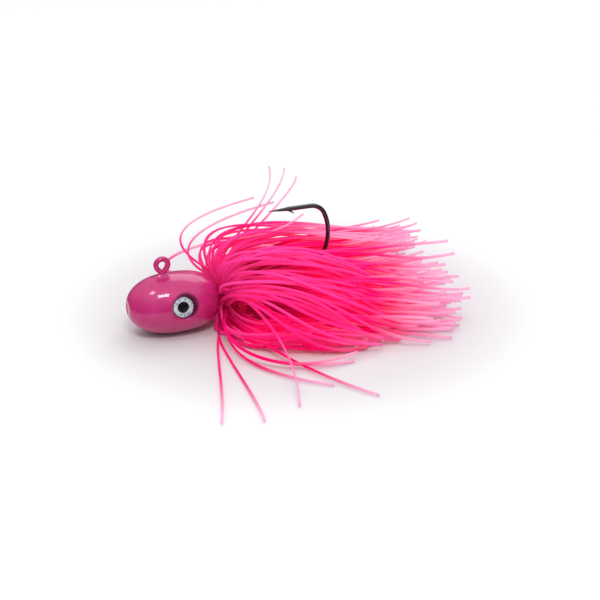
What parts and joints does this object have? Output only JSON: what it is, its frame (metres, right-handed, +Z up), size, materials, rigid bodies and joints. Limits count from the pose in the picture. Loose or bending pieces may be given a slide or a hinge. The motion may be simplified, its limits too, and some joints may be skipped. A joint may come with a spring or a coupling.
{
  "type": "skirted jig head",
  "caption": "Egg-shaped painted lead jig head cast on an upturned hook, with domed eyes, a line tie on top and a flared skirt of soft silicone strands.",
  "frame": {"origin": "centre of the line tie's hole", "axes": "-X towards the nose, +X towards the tail along the hook's shank, +Z up with the hook point on top, +Y to the right along the line tie's hole"},
  "size_m": [0.0787, 0.0931, 0.027],
  "materials": {
    "pink_enamel": "gloss enamel over cast lead",
    "black_nickel_wire": "black nickel plated steel wire, enamelled at the line tie",
    "band_rubber": "soft satin",
    "eye_foil": "holographic foil with a printed black pupil",
    "clear_resin": "clear gloss resin",
    "skirt_silicone": "translucent soft satin silicone"
  },
  "bodies": {
    "root": {"head_casting": "pink_enamel", "hook": "black_nickel_wire", "skirt_band": "band_rubber", "eye_foil_left": "eye_foil", "eye_foil_right": "eye_foil", "eye_dome_left": "clear_resin", "eye_dome_right": "clear_resin", "skirt_front_01": "skirt_silicone", "skirt_front_02": "skirt_silicone", "skirt_front_03": "skirt_silicone", "skirt_front_04": "skirt_silicone", "skirt_front_05": "skirt_silicone", "skirt_front_06": "skirt_silicone", "skirt_front_07": "skirt_silicone", "skirt_front_08": "skirt_silicone", "skirt_front_09": "skirt_silicone", "skirt_front_10": "skirt_silicone", "skirt_front_11": "skirt_silicone", "skirt_front_12": "skirt_silicone", "skirt_rear_01": "skirt_silicone", "skirt_rear_02": "skirt_silicone", "skirt_rear_03": "skirt_silicone", "skirt_rear_04": "skirt_silicone", "skirt_rear_05": "skirt_silicone", "skirt_rear_06": "skirt_silicone", "skirt_rear_07": "skirt_silicone", "skirt_rear_08": "skirt_silicone", "skirt_rear_09": "skirt_silicone", "skirt_rear_10": "skirt_silicone", "skirt_rear_11": "skirt_silicone", "skirt_rear_12": "skirt_silicone", "stray_strand_01": "skirt_silicone", "stray_strand_02": "skirt_silicone", "stray_strand_03": "skirt_silicone", "stray_strand_04": "skirt_silicone", "stray_strand_05": "skirt_silicone", "stray_strand_06": "skirt_silicone", "stray_strand_07": "skirt_silicone", "stray_strand_08": "skirt_silicone", "stray_strand_09": "skirt_silicone", "stray_strand_10": "skirt_silicone", "stray_strand_11": "skirt_silicone", "stray_strand_12": "skirt_silicone", "stray_strand_13": "skirt_silicone", "stray_strand_14": "skirt_silicone"}
  },
  "joints": []
}
